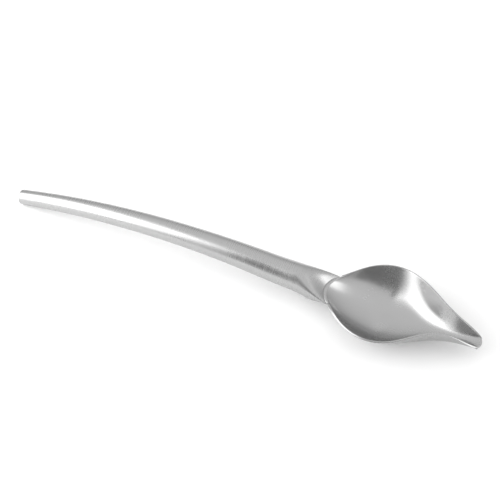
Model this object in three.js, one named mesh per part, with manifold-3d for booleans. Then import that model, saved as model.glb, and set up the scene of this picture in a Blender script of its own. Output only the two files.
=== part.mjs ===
// A spouted decorating spoon in stainless steel: a pressed bowl that narrows to a pouring spout,
// welded to a hollow, tapered, gently arched handle.
//
// Millimetres. +X runs from the handle to the tip of the spout, +Y to the left, +Z up.
// The origin is the middle of the flat on which the bowl rests, so the table is z = 0, and the
// tail of the handle touches it too.
//
// The handle is a tube rolled from sheet and closed by a weld along its underside. Its front end is
// pressed flat into a tongue, which is cut to the curve of the bowl's rear edge and welded to it.
// A domed cap closes its tail.

import * as THREE from "three";
import { mergeVertices } from "three/addons/utils/BufferGeometryUtils.js";
import Module from "manifold-3d";

// ---- Driving dimensions ----

const BOWL_SHEET = 0.8; // thickness of the bowl's sheet
const BOWL_LENGTH = 64.3; // from the neck's corners to the corners of the spout's end
const BOWL_WIDTH = 41.2; // inside the rim at its widest
const BOWL_DEPTH = 11.8; // from the rim at its widest to the floor inside
const NECK_X = -21.7; // the neck's corners
const REAR_BULGE = 4; // how far the bowl's rear edge bows back between the neck's corners
const TIP_BULGE = 0.7; // how far the spout's end bows forward between its corners
const FLOOR_PRESS = 0.3; // how far the curve of the floor is pressed flat

const HANDLE_WALL = 0.8; // thickness of the tube's sheet
const HANDLE_ARCH_RADIUS = 325; // of the arc that the tube's axis follows
const HANDLE_CROWN_X = -88; // where that arc is highest
const SHANK_RADIUS = 6.15; // outside radius of the tube where the press starts, its thickest
const NECK_LIFT_LENGTH = 26; // over which the axis leaves the arc to reach the height of the neck
const HANDLE_LENGTH = 146.8; // along X, from the neck's corners to the open end of the tube
const PRESS_LENGTH = 14; // over which the round tube is pressed into the tongue
const TONGUE_WIDTH = 16; // across the tongue where it meets the bowl
const NECK_SLOPE = 34; // degrees by which the top of the tongue falls towards the bowl

const SEAM_WIDTH = 1.2; // gap between the edges of the rolled sheet
const CAP_DOME = 1.1; // height of the tail cap's dome
const CAP_RIM = 0.5; // straight part of the cap, outside the tube
const CAP_SPIGOT = 3; // how far the cap reaches into the tube
const CLEARANCE = 0.3; // between pieces that fit together
const NECK_WELD_WIDTH = 0.6; // of the bead between the tongue and the bowl
const NECK_WELD_SPAN = 0.88; // the share of the neck's width along which that bead runs

const BOWL_STATIONS = 38; // along the bowl
const BOWL_STRIPS = 13; // from the keel to each rim
const TUBE_SIDES = 40;

// ---- Curves ----

// A natural cubic spline through points [at, value].
function splineThrough(points) {
  const n = points.length - 1;
  const at = points.map((p) => p[0]);
  const value = points.map((p) => p[1]);
  const step = at.slice(1).map((a, i) => a - at[i]);
  const bend = new Array(n + 1).fill(0);
  const upper = new Array(n + 1).fill(0);
  for (let i = 1; i < n; i++) {
    const rise = (value[i + 1] - value[i]) / step[i] - (value[i] - value[i - 1]) / step[i - 1];
    const pivot = 2 * (step[i - 1] + step[i]) - step[i - 1] * upper[i - 1];
    upper[i] = step[i] / pivot;
    bend[i] = (6 * rise - step[i - 1] * bend[i - 1]) / pivot;
  }
  for (let i = n - 1; i > 0; i--) bend[i] -= upper[i] * bend[i + 1];
  return (x) => {
    let i = 0;
    while (i < n - 1 && x > at[i + 1]) i++;
    const a = (at[i + 1] - x) / step[i];
    const b = 1 - a;
    const sag = ((a ** 3 - a) * bend[i] + (b ** 3 - b) * bend[i + 1]) * step[i] ** 2;
    return a * value[i] + b * value[i + 1] + sag / 6;
  };
}

const clamp01 = (x) => Math.min(1, Math.max(0, x));
const ease = (x) => clamp01(x) ** 2 * (3 - 2 * clamp01(x));
const mix = (a, b, share) => a + (b - a) * share;
const steps = (count) => Array.from({ length: count + 1 }, (_, i) => i / count);

// ---- Bowl shape ----
// Every curve runs along the bowl from 0 at the neck to 1 at the end of the spout. The floor is
// pressed flat inside and underneath.

const WIDEST = 1 / 3; // where the bowl is widest

const RIM_LEVEL = BOWL_SHEET + BOWL_DEPTH;

// Half-width of the rim, as a share of the widest.
const rimSpread = splineThrough([
  [0, 0.38], [0.1, 0.705], [0.22, 0.935], [WIDEST, 1], [0.45, 0.92], [0.56, 0.72], [0.69, 0.43],
  [0.82, 0.245], [0.93, 0.18], [1, 0.12],
]);

// Height of the rim above its level at the widest, as a share of the bowl's depth: it rises to two
// shoulders, then dips to the lip.
const rimRise = splineThrough([
  [0, -0.2], [0.15, -0.06], [WIDEST, 0], [0.5, 0.06], [0.65, 0.17], [0.8, 0.04], [1, -0.5],
]);

// Depth of the inside of the keel below that level, as a share of the bowl's depth: from the rear
// edge down to the floor and up the spout.
const FLOOR = 1 + FLOOR_PRESS / BOWL_DEPTH;
const keelDrop = splineThrough([
  [0, 0.2], [0.03, 0.325], [0.09, 0.54], [0.2, 0.83], [0.29, 1], [0.3375, FLOOR], [0.385, 1],
  [0.56, 0.9], [0.68, 0.77], [0.84, 0.63], [1, 0.5],
]);

// Steepness of the wall at the rim, in degrees: a shallow dish that folds up into a channel.
const wallAngle = splineThrough([[0, 38], [WIDEST, 48], [0.48, 57], [0.65, 75], [0.9, 83], [1, 72]]);

const FLOOR_SHARE = 0.55; // the share of the half-width over which a section stays near its keel
const WALL_SHARE = 0.6; // the share of the depth over which a section keeps its wall's slope

// The inside of the sheet: along from 0 to 1, and across from -1 at the right rim to 1 at the left.
function bowlInside(along, across) {
  const halfWidth = (BOWL_WIDTH / 2) * rimSpread(along);
  const rim = RIM_LEVEL + BOWL_DEPTH * rimRise(along);
  const keel = RIM_LEVEL - BOWL_DEPTH * keelDrop(along);
  const slope = THREE.MathUtils.degToRad(wallAngle(along));
  const wallDrop = WALL_SHARE * (rim - keel);
  const section = new THREE.CubicBezierCurve(
    new THREE.Vector2(0, keel),
    new THREE.Vector2(FLOOR_SHARE * halfWidth, keel),
    new THREE.Vector2(halfWidth - wallDrop / Math.tan(slope), rim - wallDrop),
    new THREE.Vector2(halfWidth, rim),
  );
  const point = section.getPoint(Math.abs(across));
  const bow = 1 - (point.x / halfWidth) ** 2;
  const back = REAR_BULGE * bow * (1 - clamp01(along / 0.35)) ** 2;
  const forward = TIP_BULGE * bow * clamp01((along - 0.85) / 0.15) ** 2;
  return new THREE.Vector3(
    NECK_X + BOWL_LENGTH * along - back + forward,
    Math.sign(across) * point.x,
    Math.max(point.y, BOWL_SHEET),
  );
}

// The way out of the sheet's underside.
function bowlNormal(along, across) {
  const d = 1e-3;
  const lengthwise = bowlInside(Math.min(1, along + d), across)
    .sub(bowlInside(Math.max(0, along - d), across));
  const crosswise = bowlInside(along, Math.min(1, across + d))
    .sub(bowlInside(along, Math.max(-1, across - d)));
  return crosswise.cross(lengthwise).normalize();
}

// The rear edge is cut square, and the underside rests flat on the table.
function bowlOutside(along, across) {
  const outward = along > 0 ? bowlNormal(along, across) : new THREE.Vector3(0, 0, -1);
  const point = bowlInside(along, across).addScaledVector(outward, BOWL_SHEET);
  point.z = Math.max(point.z, 0);
  return point;
}

// ---- Handle shape ----

const SHANK_X = NECK_X - REAR_BULGE - CLEARANCE - NECK_WELD_WIDTH - CLEARANCE;
const PRESS_X = SHANK_X - PRESS_LENGTH;
const TAIL_X = NECK_X - HANDLE_LENGTH;

// Outside radius of the tube from its tail to its shank, as a share of the shank's.
const tubeSpread = splineThrough([[0, 0.54], [0.35, 0.7], [0.65, 0.81], [1, 1]]);
const tubeRadius = (x) => SHANK_RADIUS * tubeSpread((x - TAIL_X) / (PRESS_X - TAIL_X));
const TAIL_RADIUS = tubeRadius(TAIL_X);

const archDrop = (x) =>
  HANDLE_ARCH_RADIUS - Math.sqrt(HANDLE_ARCH_RADIUS ** 2 - (x - HANDLE_CROWN_X) ** 2);
const archSlope = (x) => Math.asin((HANDLE_CROWN_X - x) / HANDLE_ARCH_RADIUS);

// The tail cap leans with the axis, and the lowest point of its dome touches the table.
const TAIL_LEAN = archSlope(TAIL_X);
const TAIL_HEIGHT =
  Math.hypot(TAIL_RADIUS * Math.cos(TAIL_LEAN), CAP_DOME * Math.sin(TAIL_LEAN))
  + CAP_RIM * Math.sin(TAIL_LEAN);
const arcHeight = (x) => TAIL_HEIGHT + archDrop(TAIL_X) - archDrop(x);

// The middle of the tongue's thickness at the joint, where its top is level with the bowl's edge.
const TONGUE_LEVEL = RIM_LEVEL + BOWL_DEPTH * rimRise(0) - HANDLE_WALL;
const NECK_LIFT = TONGUE_LEVEL - arcHeight(SHANK_X);
const axisHeight = (x) =>
  arcHeight(x) + NECK_LIFT * ease((x - SHANK_X + NECK_LIFT_LENGTH) / NECK_LIFT_LENGTH);

// ---- Solids ----

// A closed solid through rings of points, all with the same even count. Point i and point
// count - 1 - i lie across each ring from one another, so the ends close as strips.
function loft(rings) {
  const count = rings[0].length;
  const index = [];
  const quad = (a, b, c, d) => index.push(a, b, c, a, c, d);
  for (let k = 0; k < rings.length - 1; k++)
    for (let i = 0; i < count; i++) {
      const j = (i + 1) % count;
      quad(k * count + i, k * count + j, (k + 1) * count + j, (k + 1) * count + i);
    }
  const last = (rings.length - 1) * count;
  for (let i = 0; i < count / 2 - 1; i++) {
    quad(i, count - 1 - i, count - 2 - i, i + 1);
    quad(last + i, last + i + 1, last + count - 2 - i, last + count - 1 - i);
  }
  const geometry = new THREE.BufferGeometry();
  geometry.setFromPoints(rings.flat());
  geometry.setIndex(index);
  if (volumeOf(geometry) < 0) geometry.setIndex(index.reverse());
  return geometry;
}

function volumeOf(geometry) {
  const position = geometry.getAttribute("position");
  const [a, b, c] = [new THREE.Vector3(), new THREE.Vector3(), new THREE.Vector3()];
  let volume = 0;
  for (let i = 0; i < geometry.index.count; i += 3) {
    a.fromBufferAttribute(position, geometry.index.getX(i));
    b.fromBufferAttribute(position, geometry.index.getX(i + 1));
    c.fromBufferAttribute(position, geometry.index.getX(i + 2));
    volume += a.dot(b.cross(c)) / 6;
  }
  return volume;
}

const wasm = await Module();
wasm.setup();

function toManifold(geometry) {
  const bare = geometry.clone();
  for (const name of ["normal", "uv"]) bare.deleteAttribute(name);
  const merged = mergeVertices(bare, 1e-5);
  return new wasm.Manifold(new wasm.Mesh({
    numProp: 3,
    vertProperties: new Float32Array(merged.getAttribute("position").array),
    triVerts: new Uint32Array(merged.index.array),
  }));
}

function toGeometry(manifold) {
  const mesh = manifold.getMesh();
  const geometry = new THREE.BufferGeometry();
  geometry.setAttribute("position", new THREE.BufferAttribute(mesh.vertProperties, mesh.numProp));
  geometry.setIndex(new THREE.BufferAttribute(mesh.triVerts, 1));
  return geometry;
}

// ---- Pieces ----

function bowlGeometry() {
  const across = steps(2 * BOWL_STRIPS).map((share) => 2 * share - 1);
  const rings = steps(BOWL_STATIONS).map((along) => [
    ...across.map((a) => bowlInside(along, a)),
    ...across.toReversed().map((a) => bowlOutside(along, a)),
  ]);
  return loft(rings);
}

// One ring of the tube at a place on its axis, inset from the outside of the sheet.
// Towards the front the ring flattens into the tongue and bows round the bowl's rear edge.
function tubeRing(x, inset) {
  const radius = tubeRadius(Math.min(x, PRESS_X));
  const pressed = clamp01((x - PRESS_X) / PRESS_LENGTH);
  const middle = axisHeight(x);
  const top = pressed > 0 ? pressedTop(pressed) - middle : radius;
  const belly = mix(radius, HANDLE_WALL, ease((pressed - 0.6) / 0.38));
  const halfWidth = mix(radius, TONGUE_WIDTH / 2, ease(pressed));
  const lean = archSlope(x) * (1 - ease(pressed));
  return steps(TUBE_SIDES).slice(0, TUBE_SIDES).map((share) => {
    const turn = 2 * Math.PI * (share + 0.5 / TUBE_SIDES);
    const squareness = mix(2, Math.sin(turn) > 0 ? 2.8 : 2.4, ease(pressed));
    const out = Math.sign(Math.cos(turn)) * Math.abs(Math.cos(turn)) ** (2 / squareness);
    const up = Math.sign(Math.sin(turn)) * Math.abs(Math.sin(turn)) ** (2 / squareness);
    const y = (halfWidth - inset) * out;
    const rise = ((up > 0 ? top : belly) - inset) * up;
    const bow = REAR_BULGE * ease(pressed) * (y / (BOWL_WIDTH / 2 * rimSpread(0))) ** 2;
    return new THREE.Vector3(x - rise * Math.sin(lean) + bow, y, middle + rise * Math.cos(lean));
  });
}

// Height of the top of the press, from 0 where the tube is round to 1 at the joint: it leaves the
// tube along its slope and meets the bowl on the bowl's own.
function pressedTop(pressed) {
  const start = axisHeight(PRESS_X) + SHANK_RADIUS;
  const end = TONGUE_LEVEL + HANDLE_WALL;
  const startSlope = (axisHeight(PRESS_X + 0.1) - axisHeight(PRESS_X - 0.1)) / 0.2 * PRESS_LENGTH;
  const endSlope = -PRESS_LENGTH * Math.tan(THREE.MathUtils.degToRad(NECK_SLOPE));
  const left = 1 - pressed;
  return (1 + 2 * pressed) * left ** 2 * start + pressed * left ** 2 * startSlope
    + pressed ** 2 * (3 - 2 * pressed) * end - pressed ** 2 * left * endSlope;
}

function tubeStations(from, to) {
  const shank = steps(22).map((share) => mix(from, PRESS_X, share));
  const press = steps(14).slice(1).map((share) => mix(PRESS_X, to, share));
  return [...shank, ...press];
}

function handleGeometry() {
  const outside = loft(tubeStations(TAIL_X, SHANK_X).map((x) => tubeRing(x, 0)));
  const hollowEnd = PRESS_X + 0.8 * PRESS_LENGTH;
  const hollow = loft(
    tubeStations(TAIL_X - 1, hollowEnd).map((x) => tubeRing(x, HANDLE_WALL)),
  );
  const slit = loft(
    seamStations(TAIL_X - 1, SEAM_FRONT_X).map((x) => seamRing(x, SEAM_WIDTH, 1)),
  );
  return toGeometry(toManifold(outside).subtract(toManifold(hollow)).subtract(toManifold(slit)));
}

const SEAM_FRONT_X = PRESS_X - 1;
const seamStations = (from, to) => steps(22).map((share) => mix(from, to, share));

// A ring across the seam on the tube's underside, reaching past the sheet by a margin.
function seamRing(x, width, margin) {
  const radius = tubeRadius(x);
  const lean = archSlope(x);
  const corners = [
    [-1, radius + margin], [1, radius + margin],
    [1, radius - HANDLE_WALL - margin], [-1, radius - HANDLE_WALL - margin],
  ];
  return corners.map(([side, down]) => new THREE.Vector3(
    x + down * Math.sin(lean),
    (side * width) / 2,
    axisHeight(x) - down * Math.cos(lean),
  ));
}

function seamWeldGeometry() {
  const width = SEAM_WIDTH - 2 * CLEARANCE;
  return loft(seamStations(TAIL_X, SEAM_FRONT_X - CLEARANCE).map((x) => seamRing(x, width, 0)));
}

// The bead fills the joint between the tongue's front edge and the bowl's rear edge.
function neckWeldGeometry() {
  const rings = steps(2 * BOWL_STRIPS).map((share) => {
    const top = bowlInside(0, NECK_WELD_SPAN * (2 * share - 1));
    const front = top.x - CLEARANCE;
    const back = front - NECK_WELD_WIDTH;
    const bottom = top.z - BOWL_SHEET + CLEARANCE;
    return [
      new THREE.Vector3(front, top.y, top.z),
      new THREE.Vector3(back, top.y, top.z),
      new THREE.Vector3(back, top.y, bottom),
      new THREE.Vector3(front, top.y, bottom),
    ];
  });
  return loft(rings);
}

// The tail cap is turned: a dome, a straight rim and a spigot inside the tube.
function tailCapGeometry() {
  const spigot = TAIL_RADIUS - HANDLE_WALL - CLEARANCE;
  const dome = steps(6).map((share) => {
    const turn = (share * Math.PI) / 2;
    return new THREE.Vector2(TAIL_RADIUS * Math.sin(turn), CAP_RIM + CAP_DOME * Math.cos(turn));
  });
  dome[0].x = 0;
  const profile = [
    new THREE.Vector2(0, -CAP_SPIGOT),
    new THREE.Vector2(spigot, -CAP_SPIGOT),
    new THREE.Vector2(spigot, 0),
    new THREE.Vector2(TAIL_RADIUS, 0),
    ...dome.toReversed(),
  ];
  return new THREE.LatheGeometry(profile, TUBE_SIDES);
}

// ---- Materials and assembly ----

const steel = (colour, roughness) =>
  new THREE.MeshStandardMaterial({ color: colour, roughness, metalness: 1 });

const brushedSteel = steel(0xb9bbbe, 0.32);
const satinSteel = steel(0xc2c4c6, 0.26);
const weldSteel = steel(0xa9abae, 0.4);

function named(name, geometry, material) {
  const mesh = new THREE.Mesh(geometry, material);
  mesh.name = name;
  return mesh;
}

const tailCap = named("tail_cap", tailCapGeometry(), brushedSteel);
tailCap.position.set(TAIL_X, 0, TAIL_HEIGHT);
tailCap.quaternion.setFromUnitVectors(
  new THREE.Vector3(0, 1, 0),
  new THREE.Vector3(-Math.cos(TAIL_LEAN), 0, -Math.sin(TAIL_LEAN)),
);

const spoon = new THREE.Group();
spoon.add(
  named("bowl", bowlGeometry(), satinSteel),
  named("handle_tube", handleGeometry(), brushedSteel),
  named("handle_seam_weld", seamWeldGeometry(), weldSteel),
  named("neck_weld", neckWeldGeometry(), weldSteel),
  tailCap,
);

export default spoon;
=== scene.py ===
"""A spouted decorating spoon in stainless steel: a pressed bowl that narrows to a pouring spout,
on a hollow, tapered, gently arched handle. Metres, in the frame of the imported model: +X to the tip
of the spout, +Z up, and the origin in the middle of the flat on which the bowl rests."""

import math

import bmesh
import bpy
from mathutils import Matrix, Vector


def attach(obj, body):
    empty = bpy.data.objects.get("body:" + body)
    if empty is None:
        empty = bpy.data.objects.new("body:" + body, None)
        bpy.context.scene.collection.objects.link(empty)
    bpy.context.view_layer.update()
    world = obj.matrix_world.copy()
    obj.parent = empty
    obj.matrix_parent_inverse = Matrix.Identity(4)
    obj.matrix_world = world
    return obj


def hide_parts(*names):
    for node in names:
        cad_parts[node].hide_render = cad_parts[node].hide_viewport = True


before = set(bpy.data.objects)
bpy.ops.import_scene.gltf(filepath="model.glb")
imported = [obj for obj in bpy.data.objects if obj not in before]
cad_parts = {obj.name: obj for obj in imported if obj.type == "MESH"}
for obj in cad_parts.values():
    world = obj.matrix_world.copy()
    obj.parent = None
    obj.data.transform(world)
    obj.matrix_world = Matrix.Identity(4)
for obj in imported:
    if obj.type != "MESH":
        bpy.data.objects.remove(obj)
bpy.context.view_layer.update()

MM = 0.001

# ---- Sizes, as in the frame ----

BOWL_SHEET = 0.8 * MM
BOWL_WIDTH = 41.2 * MM
BOWL_LENGTH = 64.3 * MM
BOWL_DEPTH = 11.8 * MM
RIM_LEVEL = BOWL_SHEET + BOWL_DEPTH
NECK_X = -21.7 * MM
REAR_BULGE = 4 * MM
TIP_BULGE = 0.7 * MM
FLOOR_PRESS = 0.3 * MM
WIDEST = 1 / 3
FLOOR_SHARE = 0.55  # of the half-width over which a section stays near its keel
WALL_SHARE = 0.6  # of the depth over which a section keeps its wall's slope
BACK_SHARE = 0.35  # of the length over which the rear edge's bow dies away
TIP_SHARE = 0.15  # of the length over which the tip's bow grows

SHANK_RADIUS = 6.15 * MM
ARCH_RADIUS = 325 * MM
CROWN_X = -88 * MM
HANDLE_WALL = 0.8 * MM
HANDLE_LENGTH = 146.8 * MM
PRESS_LENGTH = 14 * MM
NECK_LIFT_LENGTH = 26 * MM
NECK_SLOPE = 34  # degrees
TONGUE_WIDTH = 16 * MM
ROUND_TUBE = 2  # the power of a round section, which the press makes squarer
TONGUE_TOP = 2.8
TONGUE_UNDERSIDE = 2.4
JOINT_GAP = 1.2 * MM  # between the tongue and the bowl, filled by the weld
TAIL_X = NECK_X - HANDLE_LENGTH
TONGUE_X = NECK_X - REAR_BULGE - JOINT_GAP
PRESS_X = TONGUE_X - PRESS_LENGTH
CAP_RIM = 0.5 * MM
CAP_DOME = 1.1 * MM

# ---- Finish of the meshes ----

BOWL_ROWS = 200
BOWL_COLUMNS = 110
RIM_ROUNDING = 44  # percent of the way across the faces beside the edge
FLOOR_SOFTNESS = 0.15 * MM  # how gently the pressed floor turns into the wall
TUBE_SIDES = 32
SHANK_RINGS = 26
PRESS_RINGS = 12
DOME_PROFILE = [  # how far out, and how wide
    (0.3, 1), (0.55, 0.985), (0.75, 0.93), (0.9, 0.79), (0.97, 0.55), (1, 0.25)
]
SEAM_WIDTH = 1.2 * MM
SEAM_DEPTH = 0.8 * MM
SEAM_PROUD = 0.12 * MM
SEAM_RIPPLES = 84
NECK_BEAD = 1.7 * MM
NECK_DEPTH = 0.8 * MM
NECK_PROUD = 0.05 * MM
NECK_SPAN = 0.86
NECK_RIPPLES = 28

# ---- Studio and camera ----

CAMERA_TURN = 23
CAMERA_RISE = 51
CAMERA_DISTANCE = 1.0
CAMERA_TARGET = Vector((-61.09, 0, 18.29)) * MM
CAMERA_LENS = 170.6
FLOOR_TONE = 0.88
FLOOR_GLOW = 0.14  # lit from below, like a light table
TENT_HORIZON = 0.58
TENT_TOP = 1.0
TENT_TURN = 65  # degrees of rise where the tent reaches its top brightness

# ---- Curves ----


def spline_through(points):
    """A natural cubic spline through points (at, value)."""
    at = [p[0] for p in points]
    value = [p[1] for p in points]
    last = len(points) - 1
    step = [at[i + 1] - at[i] for i in range(last)]
    bend = [0.0] * (last + 1)
    upper = [0.0] * (last + 1)
    for i in range(1, last):
        rise = (value[i + 1] - value[i]) / step[i] - (value[i] - value[i - 1]) / step[i - 1]
        pivot = 2 * (step[i - 1] + step[i]) - step[i - 1] * upper[i - 1]
        upper[i] = step[i] / pivot
        bend[i] = (6 * rise - step[i - 1] * bend[i - 1]) / pivot
    for i in range(last - 1, 0, -1):
        bend[i] -= upper[i] * bend[i + 1]

    def curve(x):
        i = 0
        while i < last - 1 and x > at[i + 1]:
            i += 1
        a = (at[i + 1] - x) / step[i]
        b = 1 - a
        sag = ((a**3 - a) * bend[i] + (b**3 - b) * bend[i + 1]) * step[i] ** 2
        return a * value[i] + b * value[i + 1] + sag / 6

    return curve


def clamp01(x):
    return min(1.0, max(0.0, x))


def ease(x):
    x = clamp01(x)
    return x * x * (3 - 2 * x)


def mix(a, b, share):
    return a + (b - a) * share


# Each bowl curve runs from 0 at the neck to 1 at the end of the spout.
rim_spread = spline_through(
    [(0, 0.38), (0.1, 0.705), (0.22, 0.935), (WIDEST, 1), (0.45, 0.92), (0.56, 0.72), (0.69, 0.43),
     (0.82, 0.245), (0.93, 0.18), (1, 0.12)]
)
rim_rise = spline_through(
    [(0, -0.2), (0.15, -0.06), (WIDEST, 0), (0.5, 0.06), (0.65, 0.17), (0.8, 0.04), (1, -0.5)]
)
FLOOR = 1 + FLOOR_PRESS / BOWL_DEPTH
keel_drop = spline_through(
    [(0, 0.2), (0.03, 0.325), (0.09, 0.54), (0.2, 0.83), (0.29, 1), (0.3375, FLOOR), (0.385, 1),
     (0.56, 0.9), (0.68, 0.77), (0.84, 0.63), (1, 0.5)]
)
wall_angle = spline_through([(0, 38), (WIDEST, 48), (0.48, 57), (0.65, 75), (0.9, 83), (1, 72)])
tube_spread = spline_through([(0, 0.54), (0.35, 0.7), (0.65, 0.81), (1, 1)])


def bowl_point(along, across):
    """A point on the inside of the bowl's sheet. across runs from -1 at the right rim to 1."""
    half_width = BOWL_WIDTH / 2 * rim_spread(along)
    rim = RIM_LEVEL + BOWL_DEPTH * rim_rise(along)
    keel = RIM_LEVEL - BOWL_DEPTH * keel_drop(along)
    slope = math.radians(wall_angle(along))
    wall_drop = WALL_SHARE * (rim - keel)
    wall_y = half_width - wall_drop / math.tan(slope)
    t = abs(across)
    s = 1 - t
    y = 3 * s * s * t * FLOOR_SHARE * half_width + 3 * s * t * t * wall_y + t**3 * half_width
    z = (s**3 + 3 * s * s * t) * keel + 3 * s * t * t * (rim - wall_drop) + t**3 * rim
    above = (z - BOWL_SHEET) / FLOOR_SOFTNESS
    if above < 30:
        z = BOWL_SHEET + FLOOR_SOFTNESS * math.log1p(math.exp(above))
    bow = 1 - (y / half_width) ** 2
    back = REAR_BULGE * bow * (1 - clamp01(along / BACK_SHARE)) ** 2
    forward = TIP_BULGE * bow * clamp01((along - (1 - TIP_SHARE)) / TIP_SHARE) ** 2
    return Vector((NECK_X + BOWL_LENGTH * along - back + forward, math.copysign(y, across), z))


def arch_drop(x):
    return ARCH_RADIUS - math.sqrt(ARCH_RADIUS**2 - (x - CROWN_X) ** 2)


def arch_slope(x):
    return math.asin((CROWN_X - x) / ARCH_RADIUS)


def tube_radius(x):
    return SHANK_RADIUS * tube_spread((x - TAIL_X) / (PRESS_X - TAIL_X))


TAIL_RADIUS = tube_radius(TAIL_X)
TAIL_LEAN = arch_slope(TAIL_X)
TAIL_HEIGHT = (
    math.hypot(TAIL_RADIUS * math.cos(TAIL_LEAN), CAP_DOME * math.sin(TAIL_LEAN))
    + CAP_RIM * math.sin(TAIL_LEAN)
)
TONGUE_LEVEL = RIM_LEVEL + BOWL_DEPTH * rim_rise(0) - HANDLE_WALL


def arc_height(x):
    return TAIL_HEIGHT + arch_drop(TAIL_X) - arch_drop(x)


def axis_point(x):
    """On the tube's axis, which leaves the arc near the neck to reach the tongue's height."""
    lift = ease((x - TONGUE_X + NECK_LIFT_LENGTH) / NECK_LIFT_LENGTH)
    return Vector((x, 0, arc_height(x) + (TONGUE_LEVEL - arc_height(TONGUE_X)) * lift))


# ---- Working by hand ----


def added(name):
    """The primitive just added, named, with its place and turn in its mesh."""
    piece = bpy.context.active_object
    piece.name = name
    piece.data.name = name
    bpy.ops.object.transform_apply(location=True, rotation=True, scale=True)
    return piece


def start():
    """Leaves edit mode with nothing selected."""
    if bpy.context.object and bpy.context.object.mode != "OBJECT":
        bpy.ops.object.mode_set(mode="OBJECT")
    bpy.ops.object.select_all(action="DESELECT")


def select_only(piece):
    start()
    piece.select_set(True)
    bpy.context.view_layer.objects.active = piece


def finish_with(piece, kind, **settings):
    """Adds a modifier to the piece and applies it."""
    select_only(piece)
    modifier = piece.modifiers.new(kind.title(), kind)
    for key, value in settings.items():
        setattr(modifier, key, value)
    bpy.ops.object.modifier_apply(modifier=modifier.name)


def smooth(piece, angle):
    select_only(piece)
    bpy.ops.object.shade_smooth_by_angle(angle=math.radians(angle))


def newest_ring(mesh, count):
    """The last count vertices of a mesh in edit mode, which an extrusion has just made."""
    mesh.verts.ensure_lookup_table()
    return mesh.verts[-count:]


def close_ring(piece, first=0, last=0, crease=0, in_strips=False):
    """Fills the ring of the mesh's first or last so many vertices, with its edge creased or soft. A
    ring that is not flat is filled in strips from its top to its underside."""
    mesh = bmesh.from_edit_mesh(piece.data)
    mesh.verts.ensure_lookup_table()
    ring = mesh.verts[:first] if first else mesh.verts[-last:]
    bpy.ops.mesh.select_all(action="DESELECT")
    for vertex in ring:
        vertex.select = True
    mesh.select_flush(True)
    if in_strips:
        count = len(ring)
        for i in range(count // 2):
            corners = [ring[i], ring[i + 1], ring[-i - 1], ring[-i]]
            mesh.faces.new(list(dict.fromkeys(corners)))
    bmesh.update_edit_mesh(piece.data)
    if not in_strips:
        bpy.ops.mesh.edge_face_add()
    if crease:
        bpy.ops.transform.edge_crease(value=crease)


def round_off(piece, levels, angle):
    """Points the faces outwards, subdivides the piece and smooths it."""
    bpy.ops.mesh.select_all(action="SELECT")
    bpy.ops.mesh.normals_make_consistent(inside=False)
    bpy.ops.object.mode_set(mode="OBJECT")
    finish_with(piece, "SUBSURF", levels=levels, render_levels=levels)
    smooth(piece, angle)


# ---- Pieces ----


def press_bowl():
    """A grid drawn into the bowl's double curve, thickened to the sheet, with its edge rounded."""
    start()
    bpy.ops.mesh.primitive_grid_add(x_subdivisions=BOWL_ROWS, y_subdivisions=BOWL_COLUMNS, size=2)
    bowl = added("bowl_shell")
    for vertex in bowl.data.vertices:
        vertex.co = bowl_point((vertex.co.x + 1) / 2, vertex.co.y)
    finish_with(bowl, "SOLIDIFY", thickness=BOWL_SHEET, offset=-1)
    finish_with(
        bowl, "BEVEL", offset_type="PERCENT", width_pct=RIM_ROUNDING, segments=4,
        limit_method="ANGLE", angle_limit=math.radians(50),
    )
    smooth(bowl, 40)
    return bowl


def tongue_ring(x):
    """Where the tube flattens: the share pressed, the height of the middle, how far the top and the
    underside lie from it, and the half-width."""
    pressed = clamp01((x - PRESS_X) / PRESS_LENGTH)
    middle = axis_point(x).z
    left = 1 - pressed
    fall = (axis_point(PRESS_X + 0.1 * MM).z - axis_point(PRESS_X - 0.1 * MM).z) / (0.2 * MM)
    ridge = (
        (1 + 2 * pressed) * left**2 * (axis_point(PRESS_X).z + SHANK_RADIUS)
        + pressed * left**2 * PRESS_LENGTH * fall
        + pressed**2 * (3 - 2 * pressed) * (TONGUE_LEVEL + HANDLE_WALL)
        + pressed**2 * left * PRESS_LENGTH * math.tan(math.radians(NECK_SLOPE))
    )
    belly = mix(SHANK_RADIUS, HANDLE_WALL, ease((pressed - 0.6) / 0.38))
    half_width = mix(SHANK_RADIUS, TONGUE_WIDTH / 2, ease(pressed))
    return pressed, middle, ridge - middle, belly, half_width


def press_ring(ring, turns, x):
    """Fits a ring, whose points lie at these turns round the tube, to the pressed section at x."""
    pressed, middle, top, belly, half_width = tongue_ring(x)
    lean = arch_slope(x) * (1 - ease(pressed))
    for vertex, turn in zip(ring, turns):
        flat = TONGUE_TOP if math.sin(turn) > 0 else TONGUE_UNDERSIDE
        power = 2 / mix(ROUND_TUBE, flat, ease(pressed))
        out = math.copysign(abs(math.cos(turn)) ** power, math.cos(turn))
        up = math.copysign(abs(math.sin(turn)) ** power, math.sin(turn))
        y = half_width * out
        rise = (top if up > 0 else belly) * up
        bow = REAR_BULGE * ease(pressed) * (y / (BOWL_WIDTH / 2 * rim_spread(0))) ** 2
        vertex.co = Vector((x - rise * math.sin(lean) + bow, y, middle + rise * math.cos(lean)))


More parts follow.
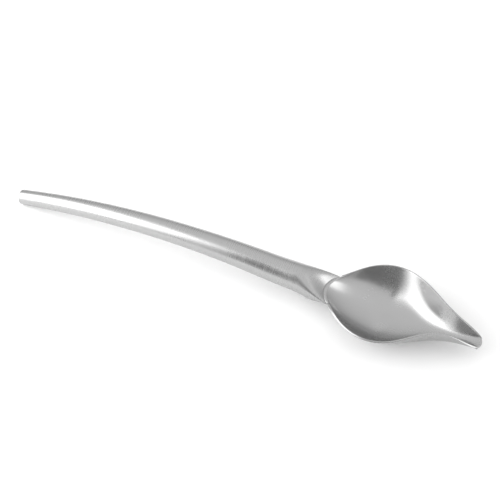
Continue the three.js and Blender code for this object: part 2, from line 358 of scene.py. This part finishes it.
def roll_handle():
    """A ring drawn along the arch from the tail, widening as it goes, then pressed to a tongue."""
    start()
    bpy.ops.mesh.primitive_circle_add(
        vertices=TUBE_SIDES,
        radius=TAIL_RADIUS,
        location=axis_point(TAIL_X),
        rotation=(0, math.pi / 2 - TAIL_LEAN, 0),
    )
    handle = added("handle_shell")
    bpy.ops.object.mode_set(mode="EDIT")
    bpy.ops.mesh.select_all(action="SELECT")
    here = TAIL_X
    for i in range(1, SHANK_RINGS + 1):
        there = mix(TAIL_X, PRESS_X, i / SHANK_RINGS)
        move = axis_point(there) - axis_point(here)
        bpy.ops.mesh.extrude_region_move(TRANSFORM_OT_translate={"value": move})
        bpy.ops.transform.rotate(
            value=arch_slope(there) - arch_slope(here),
            orient_axis="Y",
            center_override=axis_point(there),
        )
        bpy.ops.transform.resize(
            value=[tube_radius(there) / tube_radius(here)] * 3, center_override=axis_point(there)
        )
        here = there
    mesh = bmesh.from_edit_mesh(handle.data)
    centre = axis_point(PRESS_X)
    lean = arch_slope(PRESS_X)
    turns = []
    for vertex in newest_ring(mesh, TUBE_SIDES):
        arm = vertex.co - centre
        turns.append(math.atan2(arm.z * math.cos(lean) - arm.x * math.sin(lean), arm.y))
    for i in range(1, PRESS_RINGS + 1):
        there = mix(PRESS_X, TONGUE_X, i / PRESS_RINGS)
        bpy.ops.mesh.extrude_region_move(TRANSFORM_OT_translate={"value": (there - here, 0, 0)})
        mesh = bmesh.from_edit_mesh(handle.data)
        press_ring(newest_ring(mesh, TUBE_SIDES), turns, there)
        bmesh.update_edit_mesh(handle.data)
        here = there
    close_ring(handle, last=TUBE_SIDES, crease=0.7, in_strips=True)
    close_ring(handle, first=TUBE_SIDES, crease=1)
    round_off(handle, 2, 50)
    return handle


def close_tail():
    """A shallow dome with a rounded edge, of the tube's own width at the tail."""
    start()
    bpy.ops.mesh.primitive_circle_add(
        vertices=TUBE_SIDES,
        radius=TAIL_RADIUS,
        location=axis_point(TAIL_X),
        rotation=(0, math.pi / 2 - TAIL_LEAN, 0),
    )
    dome = added("tail_dome")
    bpy.ops.object.mode_set(mode="EDIT")
    bpy.ops.mesh.select_all(action="SELECT")
    outward = Vector((-math.cos(TAIL_LEAN), 0, -math.sin(TAIL_LEAN)))
    here, width = 0, 1
    for there, narrowed in DOME_PROFILE:
        bpy.ops.mesh.extrude_region_move(
            TRANSFORM_OT_translate={"value": outward * (CAP_RIM + CAP_DOME) * (there - here)}
        )
        centre = axis_point(TAIL_X) + outward * (CAP_RIM + CAP_DOME) * there
        bpy.ops.transform.resize(value=[narrowed / width] * 3, center_override=centre)
        here, width = there, narrowed
    close_ring(dome, last=TUBE_SIDES)
    close_ring(dome, first=TUBE_SIDES, crease=1)
    round_off(dome, 2, 50)
    return dome


def draw_bead(name, sides, path, wide, deep):
    """A weld bead: a small flattened ring drawn from point to point of the path, given as
    (point, swell), across which it is wide in X or Y and deep in Z."""
    start()
    along = (path[1][0] - path[0][0]).normalized()
    lying = abs(along.x) > abs(along.y)
    bpy.ops.mesh.primitive_circle_add(
        vertices=sides,
        radius=1,
        location=path[0][0],
        rotation=(0, math.pi / 2, 0) if lying else (math.pi / 2, 0, 0),
    )
    bead = added(name)
    bpy.ops.object.mode_set(mode="EDIT")
    bpy.ops.mesh.select_all(action="SELECT")
    flattened = (1, wide / 2, deep / 2) if lying else (wide / 2, 1, deep / 2)
    bpy.ops.transform.resize(value=flattened, center_override=path[0][0])
    bpy.ops.transform.resize(value=[path[0][1]] * 3, center_override=path[0][0])
    for (here, swollen), (there, swell) in zip(path, path[1:]):
        bpy.ops.mesh.extrude_region_move(TRANSFORM_OT_translate={"value": there - here})
        bpy.ops.transform.resize(value=[swell / swollen] * 3, center_override=there)
    close_ring(bead, last=sides)
    close_ring(bead, first=sides)
    round_off(bead, 1, 60)
    return bead


def weld_seam():
    """The welded seam along the underside of the rolled tube."""
    path = []
    first, last = TAIL_X + 0.9 * MM, PRESS_X - 1.6 * MM
    for i in range(SEAM_RIPPLES + 1):
        x = mix(first, last, i / SEAM_RIPPLES)
        lean = arch_slope(x)
        below = tube_radius(x) - SEAM_DEPTH / 2 + SEAM_PROUD
        point = axis_point(x) - Vector((-math.sin(lean), 0, math.cos(lean))) * below
        ends = min(1, 0.45 + min(i, SEAM_RIPPLES - i) / 3)
        path.append((point, ends * (1 + 0.03 * math.sin(2.4 * i))))
    return draw_bead("seam_bead", 12, path, SEAM_WIDTH, SEAM_DEPTH)


def weld_neck():
    """The polished weld in the joint between the tongue and the bowl."""
    path = []
    for i in range(NECK_RIPPLES + 1):
        across = mix(-NECK_SPAN, NECK_SPAN, i / NECK_RIPPLES)
        edge = bowl_point(0, across)
        point = edge + Vector((-JOINT_GAP / 2, 0, NECK_PROUD - NECK_DEPTH / 2))
        ends = min(1, 0.5 + min(i, NECK_RIPPLES - i) / 4)
        path.append((point, ends * (1 + 0.02 * math.sin(2.1 * i))))
    return draw_bead("neck_bead", 12, path, NECK_BEAD, NECK_DEPTH)


# ---- Finishes ----


def add_node(tree, kind, place, **values):
    node = tree.nodes.new(kind)
    node.location = place
    for key, value in values.items():
        if key in node.inputs:
            node.inputs[key].default_value = value
        else:
            setattr(node, key, value)
    return node


def steel(name, tone, roughness, grain, grain_scale, grain_turn, bump, mottle):
    """Stainless steel. grain is how much the roughness follows the brush marks, grain_scale their
    count per metre along X, Y and Z, bump their depth, and mottle a slow change of tone."""
    material = bpy.data.materials.new(name)
    material.use_nodes = True
    tree = material.node_tree
    shader = tree.nodes["Principled BSDF"]
    shader.inputs["Metallic"].default_value = 1
    place = add_node(tree, "ShaderNodeTexCoord", (-1300, 0))

    brushing = add_node(tree, "ShaderNodeMapping", (-1100, 0))
    brushing.inputs["Rotation"].default_value = grain_turn
    brushing.inputs["Scale"].default_value = grain_scale
    marks = add_node(tree, "ShaderNodeTexNoise", (-900, 0))
    marks.inputs["Scale"].default_value = 1
    marks.inputs["Detail"].default_value = 5
    marks.inputs["Roughness"].default_value = 0.65
    tree.links.new(place.outputs["Object"], brushing.inputs["Vector"])
    tree.links.new(brushing.outputs["Vector"], marks.inputs["Vector"])

    slow = add_node(tree, "ShaderNodeTexNoise", (-900, -320))
    slow.inputs["Scale"].default_value = 70
    slow.inputs["Detail"].default_value = 3
    tree.links.new(place.outputs["Object"], slow.inputs["Vector"])

    rough = add_node(tree, "ShaderNodeMapRange", (-600, 0))
    rough.inputs["From Min"].default_value = 0.3
    rough.inputs["From Max"].default_value = 0.7
    rough.inputs["To Min"].default_value = roughness - grain
    rough.inputs["To Max"].default_value = roughness + grain
    tree.links.new(marks.outputs["Fac"], rough.inputs["Value"])
    wear = add_node(tree, "ShaderNodeMapRange", (-600, -320))
    wear.inputs["From Min"].default_value = 0.35
    wear.inputs["From Max"].default_value = 0.65
    wear.inputs["To Min"].default_value = -0.03
    wear.inputs["To Max"].default_value = 0.03
    tree.links.new(slow.outputs["Fac"], wear.inputs["Value"])
    summed = add_node(tree, "ShaderNodeMath", (-350, -100), operation="ADD")
    tree.links.new(rough.outputs["Result"], summed.inputs[0])
    tree.links.new(wear.outputs["Result"], summed.inputs[1])
    tree.links.new(summed.outputs["Value"], shader.inputs["Roughness"])

    shade = add_node(tree, "ShaderNodeValToRGB", (-600, 320))
    shade.color_ramp.elements[0].position = 0.3
    shade.color_ramp.elements[0].color = [tone - mottle] * 3 + [1]
    shade.color_ramp.elements[1].position = 0.7
    shade.color_ramp.elements[1].color = [tone + mottle] * 3 + [1]
    tree.links.new(marks.outputs["Fac"], shade.inputs["Fac"])
    tree.links.new(shade.outputs["Color"], shader.inputs["Base Color"])

    relief = add_node(tree, "ShaderNodeBump", (-350, -420))
    relief.inputs["Strength"].default_value = bump
    relief.inputs["Distance"].default_value = 0.02 * MM
    tree.links.new(marks.outputs["Fac"], relief.inputs["Height"])
    tree.links.new(relief.outputs["Normal"], shader.inputs["Normal"])
    return material


satin_steel = steel(
    "satin_steel", tone=0.455, roughness=0.25, grain=0.02, grain_scale=(900, 3200, 900),
    grain_turn=(0, 0, 0.35), bump=0.03, mottle=0.006,
)
brushed_steel = steel(
    "brushed_steel", tone=0.455, roughness=0.28, grain=0.035, grain_scale=(2800, 120, 120),
    grain_turn=(0, 0, 0.12), bump=0.05, mottle=0.014,
)
weld_steel = steel(
    "weld_steel", tone=0.45, roughness=0.3, grain=0.06, grain_scale=(2400, 2400, 2400),
    grain_turn=(0, 0, 0), bump=0.2, mottle=0.015,
)


def dress(piece, node, material):
    """Gives the piece its finish and its place in the model."""
    piece.data.materials.clear()
    piece.data.materials.append(material)
    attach(piece, "root")
    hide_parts(node)


# ---- Studio ----

MIDDLE = Vector((-64 * MM, 0, 9 * MM))


def toward(turn, rise):
    """The direction at this turn from +X towards +Y, and this rise above the table, in degrees."""
    turn, rise = math.radians(turn), math.radians(rise)
    level = math.cos(rise)
    return Vector((math.cos(turn) * level, math.sin(turn) * level, math.sin(rise)))


def hang(piece, turn, rise, distance, about=MIDDLE):
    """Places a light or a card so far from the spoon, facing it."""
    piece.location = about + toward(turn, rise) * distance
    piece.rotation_euler = toward(turn, rise).to_track_quat("Z", "Y").to_euler()


def softbox(name, turn, rise, wide, high, distance, glow, roll=0):
    """A rectangular light, wide and high in degrees as seen from the spoon, that glows this much.
    roll turns it in its own plane."""
    light = bpy.data.lights.new(name, "AREA")
    light.shape = "RECTANGLE"
    light.size = 2 * distance * math.tan(math.radians(wide) / 2)
    light.size_y = 2 * distance * math.tan(math.radians(high) / 2)
    light.energy = glow * math.pi * light.size * light.size_y
    lamp = bpy.data.objects.new(name, light)
    bpy.context.scene.collection.objects.link(lamp)
    hang(lamp, turn, rise, distance)
    lamp.rotation_euler.rotate_axis("Z", math.radians(roll))
    lamp.visible_camera = False


def dark_card(name, turn, rise, half_width, half_height, distance, about, tone):
    """A felt card that shows only in the steel. Its half-sizes are in degrees, seen from about."""
    start()
    bpy.ops.mesh.primitive_plane_add(size=2)
    card = bpy.context.active_object
    card.name = name
    card.scale = (
        distance * math.tan(math.radians(half_width)),
        distance * math.tan(math.radians(half_height)),
        1,
    )
    hang(card, turn, rise, distance, about)
    card.visible_camera = False
    card.visible_diffuse = False
    card.visible_shadow = False
    felt = bpy.data.materials.new(name)
    felt.use_nodes = True
    shader = felt.node_tree.nodes["Principled BSDF"]
    shader.inputs["Base Color"].default_value = [tone] * 3 + [1]
    shader.inputs["Roughness"].default_value = 1
    shader.inputs["Specular IOR Level"].default_value = 0
    card.data.materials.append(felt)


def light_studio():
    start()
    bpy.ops.mesh.primitive_plane_add(size=12, location=MIDDLE.xy.to_3d())
    floor = added("floor")
    paper = bpy.data.materials.new("pale_paper")
    paper.use_nodes = True
    tree = paper.node_tree
    shader = tree.nodes["Principled BSDF"]
    shader.inputs["Roughness"].default_value = 0.9
    shader.inputs["Specular IOR Level"].default_value = 0.1
    shader.inputs["Base Color"].default_value = [FLOOR_TONE] * 3 + [1]
    shader.inputs["Emission Color"].default_value = [1, 1, 1, 1]
    shader.inputs["Emission Strength"].default_value = FLOOR_GLOW
    floor.data.materials.append(paper)

    world = bpy.data.worlds.new("tent")
    bpy.context.scene.world = world
    world.use_nodes = True
    tree = world.node_tree
    tent = tree.nodes["Background"]
    tent.inputs["Color"].default_value = [1, 1, 1, 1]
    place = add_node(tree, "ShaderNodeTexCoord", (-900, 0))
    parts = add_node(tree, "ShaderNodeSeparateXYZ", (-700, 0))
    tree.links.new(place.outputs["Generated"], parts.inputs["Vector"])
    height = add_node(tree, "ShaderNodeMapRange", (-500, 0), interpolation_type="SMOOTHSTEP")
    height.inputs["From Min"].default_value = 0
    height.inputs["From Max"].default_value = math.sin(math.radians(TENT_TURN))
    height.inputs["To Min"].default_value = TENT_HORIZON
    height.inputs["To Max"].default_value = TENT_TOP
    tree.links.new(parts.outputs["Z"], height.inputs["Value"])
    tree.links.new(height.outputs["Result"], tent.inputs["Strength"])

    softbox("left_softbox", -152, 28, 62, 54, 0.3, 1.9, roll=18)
    softbox("left_spill", -152, 30, 76, 70, 0.33, 0.35, roll=18)
    softbox("right_softbox", 18, 37, 24, 17, 1.2, 1.9)

    dark_card("dark_card", -68, 25, 24, 20, 0.42, Vector((-8, 15, 8)) * MM, 0.2)
    dark_card("narrow_card", -101, 39, 7, 23, 0.6, Vector((-45, -3, 16)) * MM, 0.18)


def place_camera():
    back = toward(CAMERA_TURN - 90, CAMERA_RISE)
    lens = bpy.data.cameras.new("camera")
    lens.lens = CAMERA_LENS
    lens.clip_start = 0.05
    camera = bpy.data.objects.new("camera", lens)
    bpy.context.scene.collection.objects.link(camera)
    camera.location = CAMERA_TARGET + back * CAMERA_DISTANCE
    camera.rotation_euler = back.to_track_quat("Z", "Y").to_euler()
    bpy.context.scene.camera = camera
    bpy.context.scene.view_settings.view_transform = "Standard"


# ---- The spoon ----

bowl_shell = press_bowl()
handle_shell = roll_handle()
tail_dome = close_tail()
seam_bead = weld_seam()
neck_bead = weld_neck()

dress(bowl_shell, "bowl", satin_steel)
dress(handle_shell, "handle_tube", brushed_steel)
dress(tail_dome, "tail_cap", brushed_steel)
dress(seam_bead, "handle_seam_weld", weld_steel)
dress(neck_bead, "neck_weld", weld_steel)

light_studio()
place_camera()
